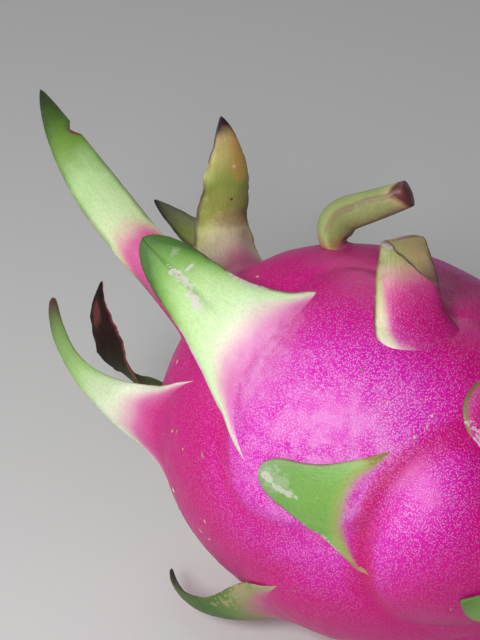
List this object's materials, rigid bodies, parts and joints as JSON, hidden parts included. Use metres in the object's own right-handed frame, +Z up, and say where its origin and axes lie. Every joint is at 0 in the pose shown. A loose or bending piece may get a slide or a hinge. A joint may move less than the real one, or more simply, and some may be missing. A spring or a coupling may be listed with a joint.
{
  "type": "dragon fruit",
  "caption": "Whole ripe dragon fruit lying on its side: egg-shaped magenta body with leaf-like green-tipped bracts, dried flower scar and stem stub.",
  "frame": {"origin": "middle of the flat spot the fruit rests on", "axes": "+Z up from the resting surface, -X towards the crown, -Y towards the picture's side"},
  "size_m": [0.1681, 0.0963, 0.1021],
  "materials": {
    "skin": "waxy satin with fine pale speckle",
    "bract": "waxy satin, pink at the root, green at the tip",
    "dry_bract": "dry matt",
    "stem": "dry matt",
    "scar": "dry matt"
  },
  "bodies": {
    "root": {"fruit_body": "skin", "crown_bract_tall": "bract", "crown_bract_bent": "bract", "crown_bract_far": "bract", "shoulder_bract_front": "bract", "crown_bract_claw": "bract", "crown_bract_dry": "dry_bract", "top_bract_hooked": "bract", "top_bract_folded": "bract", "side_bract_front": "bract", "low_bract_front": "bract", "top_bract_rear": "bract", "stem_bract_front": "bract", "crown_bract_under": "bract", "crown_bract_back": "bract", "shoulder_bract_under": "bract", "shoulder_bract_low_back": "bract", "shoulder_bract_back": "bract", "side_bract_low_back": "bract", "side_bract_back": "bract", "side_bract_high_back": "bract", "rear_bract_under": "bract", "rear_bract_low_back": "bract", "rear_bract_back": "bract", "rear_bract_high_back": "bract", "stem_bract_low": "bract", "stem_bract_back": "bract", "stem_bract_top": "bract", "stem_stub": "stem", "flower_scar": "scar"}
  },
  "joints": []
}
